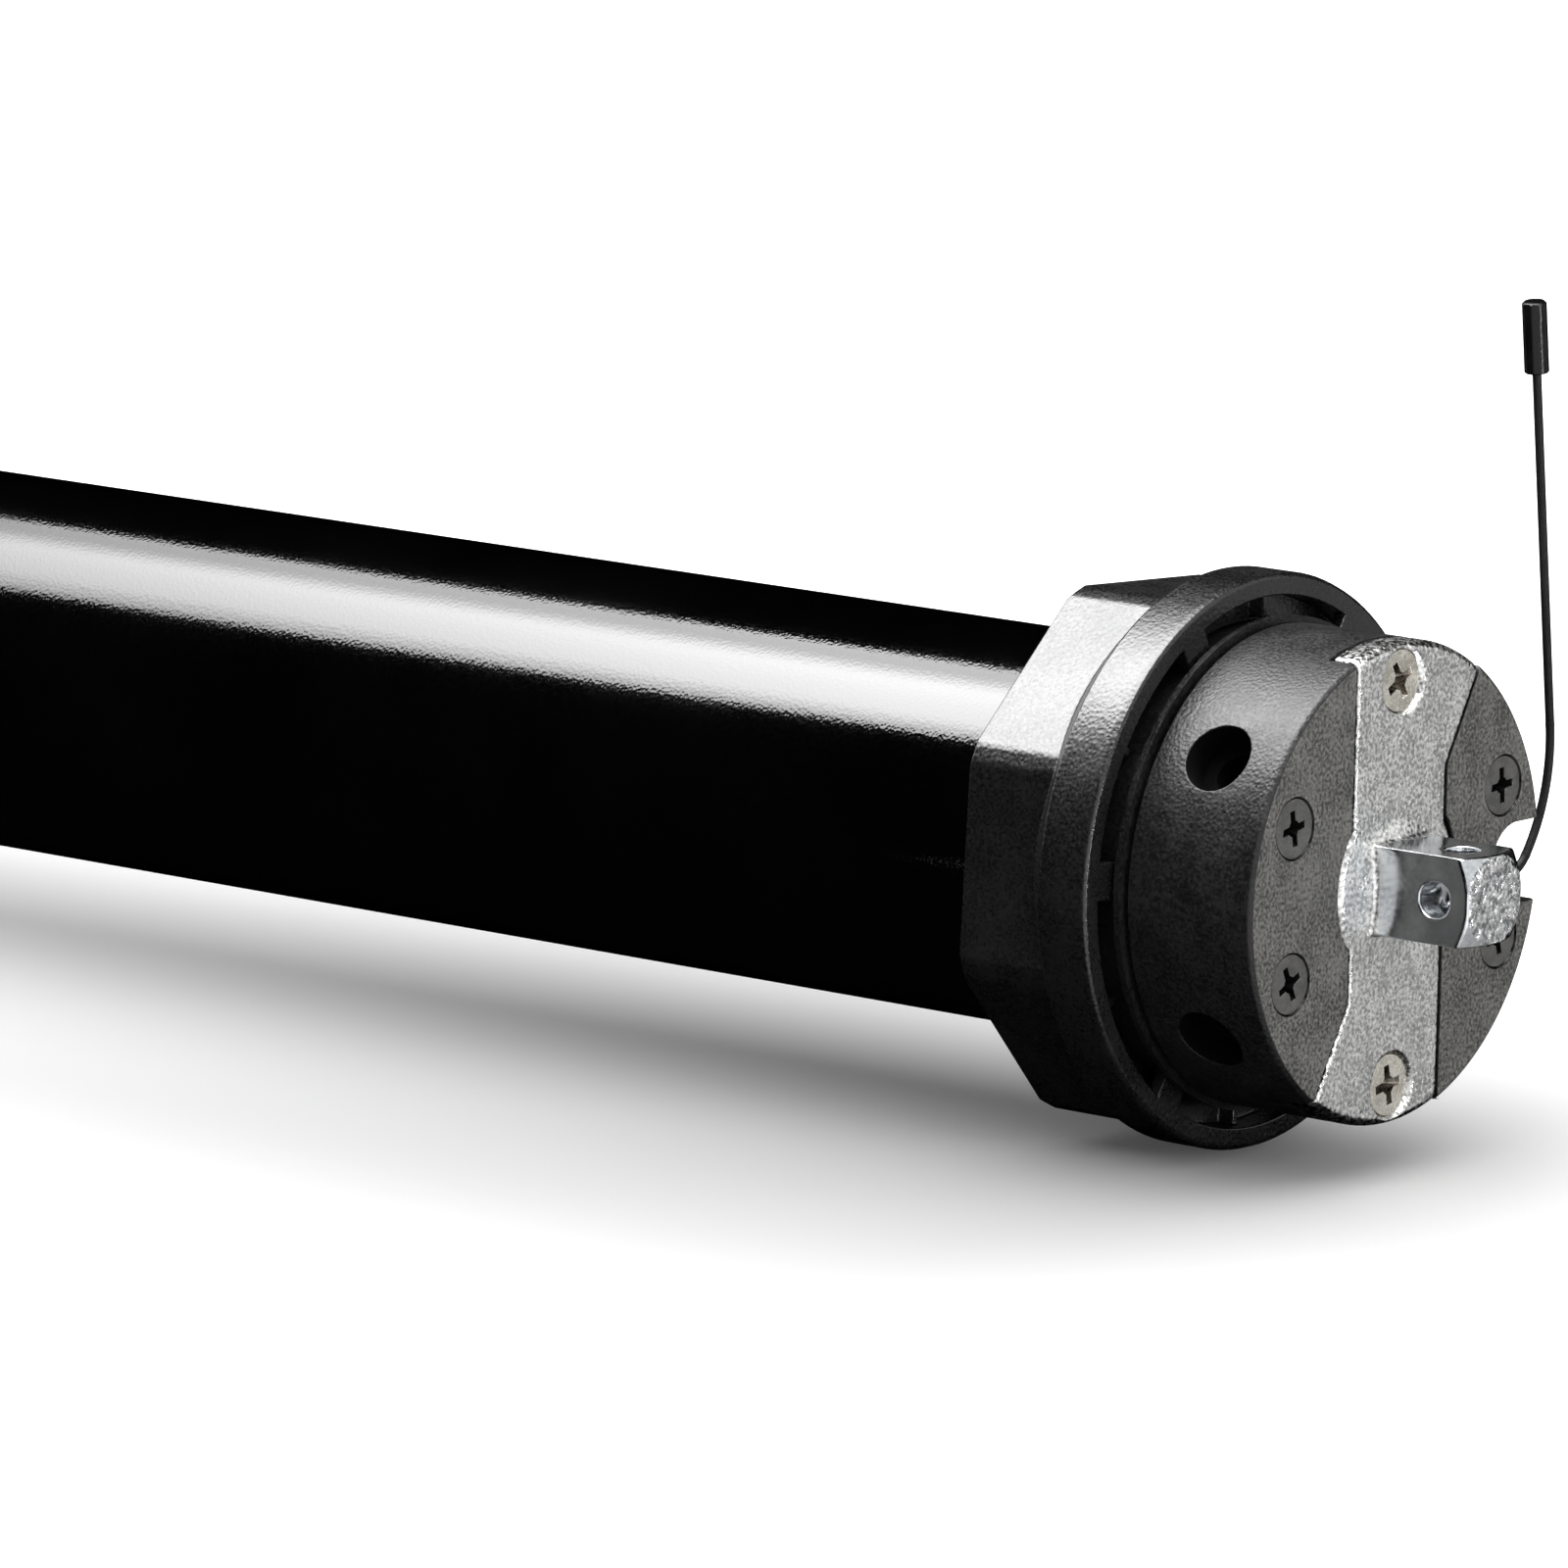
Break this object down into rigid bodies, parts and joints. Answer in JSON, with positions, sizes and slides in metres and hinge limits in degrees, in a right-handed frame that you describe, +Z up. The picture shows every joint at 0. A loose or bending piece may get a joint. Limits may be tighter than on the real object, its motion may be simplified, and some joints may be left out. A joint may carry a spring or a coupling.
{
  "type": "tubular roller blind motor",
  "caption": "Long slim drive motor that sits inside a blind's roller tube: round head with a square mounting pin and whip antenna, octagonal crown, and an octagonal drive wheel at the far end.",
  "frame": {"origin": "on the motor's axis, in the plane of the head's face, where the square pin rises", "axes": "+X along the motor's axis, out of the head's face and along the square pin; the tube runs towards -X. +Z up, along the line through the two bracket screws, on the side that the antenna rises. +Y towards the side of the head with the cable notch"},
  "size_m": [0.4565, 0.066, 0.0943],
  "materials": {
    "cast_zinc": "grainy die cast",
    "screw_zinc": "zinc plated",
    "black_plastic": "fine grained, moulded",
    "black_screw": "blackened steel",
    "red_plastic": "moulded",
    "yellow_plastic": "moulded",
    "ivory_plastic": "moulded",
    "switch_plastic": "moulded",
    "white_plastic": "moulded",
    "contact_brass": "plain",
    "soft_rubber": "plain",
    "wire_sheath": "extruded",
    "tube_paint": "satin black paint",
    "plain_steel": "bright",
    "tray_plastic": "moulded",
    "board_green": "solder mask",
    "relay_blue": "moulded",
    "transformer_yellow": "taped",
    "radio_blue": "solder mask with a tinned shield",
    "terminal_green": "moulded",
    "capacitor_film": "moulded",
    "die_cast": "die cast",
    "lining": "friction lining",
    "lamination": "stacked sheets",
    "copper_wire": "enamelled copper",
    "cage_aluminium": "cast",
    "gear_steel": "sintered",
    "case_steel": "sintered and oiled",
    "bearing_bronze": "sintered bronze"
  },
  "bodies": {
    "housing": {"mounting_bracket": "cast_zinc", "bracket_screws": "screw_zinc", "head_cap": "black_plastic", "cap_screws": "black_screw", "head_body": "black_plastic", "limit_unit": "ivory_plastic", "limit_switches": "switch_plastic", "crown_retaining_ring": "plain_steel", "cable_socket": "white_plastic", "socket_pins": "contact_brass", "antenna_grommet": "soft_rubber", "antenna_wire": "wire_sheath", "antenna_cap": "soft_rubber", "motor_tube": "tube_paint", "tube_rivets": "plain_steel", "board_tray": "tray_plastic", "control_board": "board_green", "board_relays": "relay_blue", "board_transformer": "transformer_yellow", "radio_module": "radio_blue", "terminal_block": "terminal_green", "run_capacitor": "capacitor_film", "brake_housing": "die_cast", "brake_spring": "plain_steel", "brake_end_shield": "die_cast", "gear_end_shield": "die_cast", "rotor_bearings": "plain_steel", "stator_stack": "lamination", "stator_windings": "copper_wire", "gearbox_case": "case_steel", "gearbox_cover": "die_cast", "output_bush": "bearing_bronze"},
    "crown": {"crown_ring": "black_plastic"},
    "limit_pinion": {"limit_pinion": "ivory_plastic"},
    "limit_gear": {"limit_gear": "ivory_plastic"},
    "upper_adjuster": {"upper_limit_adjuster": "red_plastic"},
    "lower_adjuster": {"lower_limit_adjuster": "yellow_plastic"},
    "brake_armature": {"brake_plate": "plain_steel", "brake_lining": "lining"},
    "rotor": {"rotor_core": "lamination", "rotor_cage": "cage_aluminium", "rotor_shaft": "plain_steel", "sun_pinion": "gear_steel", "brake_disc": "plain_steel"},
    "first_carrier": {"carrier_1": "gear_steel"},
    "second_carrier": {"carrier_2": "gear_steel"},
    "output": {"output_carrier": "gear_steel", "drive_wheel": "black_plastic", "drive_clip": "plain_steel"},
    "planet_1a": {"stage_1_planet_a": "gear_steel"},
    "planet_1b": {"stage_1_planet_b": "gear_steel"},
    "planet_1c": {"stage_1_planet_c": "gear_steel"},
    "planet_2a": {"stage_2_planet_a": "gear_steel"},
    "planet_2b": {"stage_2_planet_b": "gear_steel"},
    "planet_2c": {"stage_2_planet_c": "gear_steel"},
    "planet_3a": {"stage_3_planet_a": "gear_steel"},
    "planet_3b": {"stage_3_planet_b": "gear_steel"},
    "planet_3c": {"stage_3_planet_c": "gear_steel"}
  },
  "joints": [
    {"name": "crown_spin", "type": "hinge", "parent": "housing", "child": "crown", "pos_m": [-0.0281, 0, 0], "axis": [1, 0, 0], "continuous": true},
    {"name": "limit_pinion_spin", "type": "hinge", "parent": "housing", "child": "limit_pinion", "pos_m": [-0.0275, 0, -0.02306], "axis": [1, 0, 0], "continuous": true},
    {"name": "limit_gear_spin", "type": "hinge", "parent": "housing", "child": "limit_gear", "pos_m": [-0.03, 0, -0.01226], "axis": [1, 0, 0], "continuous": true},
    {"name": "upper_limit_turn", "type": "hinge", "parent": "housing", "child": "upper_adjuster", "pos_m": [-0.0088, -0.01218, 0.00875], "axis": [0, -0.8121, 0.5835], "continuous": true},
    {"name": "lower_limit_turn", "type": "hinge", "parent": "housing", "child": "lower_adjuster", "pos_m": [-0.0088, -0.01218, -0.00875], "axis": [0, -0.8121, -0.5835], "continuous": true},
    {"name": "brake_release", "type": "slide", "parent": "housing", "child": "brake_armature", "axis": [1, 0, 0], "range_m": [0, 0.0004], "stiffness_N_per_m": 4000, "springref_m": -0.002, "deforming": ["brake_spring"]},
    {"name": "output_spin", "type": "hinge", "parent": "housing", "child": "output", "pos_m": [-0.41, 0, 0], "axis": [1, 0, 0], "continuous": true},
    {"name": "rotor_spin", "type": "hinge", "parent": "housing", "child": "rotor", "pos_m": [-0.295, 0, 0], "axis": [1, 0, 0], "continuous": true},
    {"name": "first_carrier_spin", "type": "hinge", "parent": "housing", "child": "first_carrier", "pos_m": [-0.36, 0, 0], "axis": [1, 0, 0], "continuous": true},
    {"name": "second_carrier_spin", "type": "hinge", "parent": "housing", "child": "second_carrier", "pos_m": [-0.377, 0, 0], "axis": [1, 0, 0], "continuous": true},
    {"name": "planet_1a_spin", "type": "hinge", "parent": "first_carrier", "child": "planet_1a", "pos_m": [-0.3517, 0.01197, 0], "axis": [1, 0, 0], "continuous": true},
    {"name": "planet_1b_spin", "type": "hinge", "parent": "first_carrier", "child": "planet_1b", "pos_m": [-0.3517, -0.00599, 0.01037], "axis": [1, 0, 0], "continuous": true},
    {"name": "planet_1c_spin", "type": "hinge", "parent": "first_carrier", "child": "planet_1c", "pos_m": [-0.3517, -0.00599, -0.01037], "axis": [1, 0, 0], "continuous": true},
    {"name": "planet_2a_spin", "type": "hinge", "parent": "second_carrier", "child": "planet_2a", "pos_m": [-0.369, 0.01197, 0], "axis": [1, 0, 0], "continuous": true},
    {"name": "planet_2b_spin", "type": "hinge", "parent": "second_carrier", "child": "planet_2b", "pos_m": [-0.369, -0.00599, 0.01037], "axis": [1, 0, 0], "continuous": true},
    {"name": "planet_2c_spin", "type": "hinge", "parent": "second_carrier", "child": "planet_2c", "pos_m": [-0.369, -0.00599, -0.01037], "axis": [1, 0, 0], "continuous": true},
    {"name": "planet_3a_spin", "type": "hinge", "parent": "output", "child": "planet_3a", "pos_m": [-0.3868, 0.01197, 0], "axis": [1, 0, 0], "continuous": true},
    {"name": "planet_3b_spin", "type": "hinge", "parent": "output", "child": "planet_3b", "pos_m": [-0.3868, -0.00599, 0.01037], "axis": [1, 0, 0], "continuous": true},
    {"name": "planet_3c_spin", "type": "hinge", "parent": "output", "child": "planet_3c", "pos_m": [-0.3868, -0.00599, -0.01037], "axis": [1, 0, 0], "continuous": true}
  ],
  "couplings": [
    {"joint": "limit_pinion_spin", "follows": "crown_spin", "ratio": 5.8333},
    {"joint": "limit_gear_spin", "follows": "crown_spin", "ratio": -1.9444},
    {"joint": "rotor_spin", "follows": "output_spin", "ratio": 64},
    {"joint": "first_carrier_spin", "follows": "output_spin", "ratio": 16},
    {"joint": "second_carrier_spin", "follows": "output_spin", "ratio": 4},
    {"joint": "planet_1a_spin", "follows": "output_spin", "ratio": -48},
    {"joint": "planet_1b_spin", "follows": "output_spin", "ratio": -48},
    {"joint": "planet_1c_spin", "follows": "output_spin", "ratio": -48},
    {"joint": "planet_2a_spin", "follows": "output_spin", "ratio": -12},
    {"joint": "planet_2b_spin", "follows": "output_spin", "ratio": -12},
    {"joint": "planet_2c_spin", "follows": "output_spin", "ratio": -12},
    {"joint": "planet_3a_spin", "follows": "output_spin", "ratio": -3},
    {"joint": "planet_3b_spin", "follows": "output_spin", "ratio": -3},
    {"joint": "planet_3c_spin", "follows": "output_spin", "ratio": -3}
  ]
}
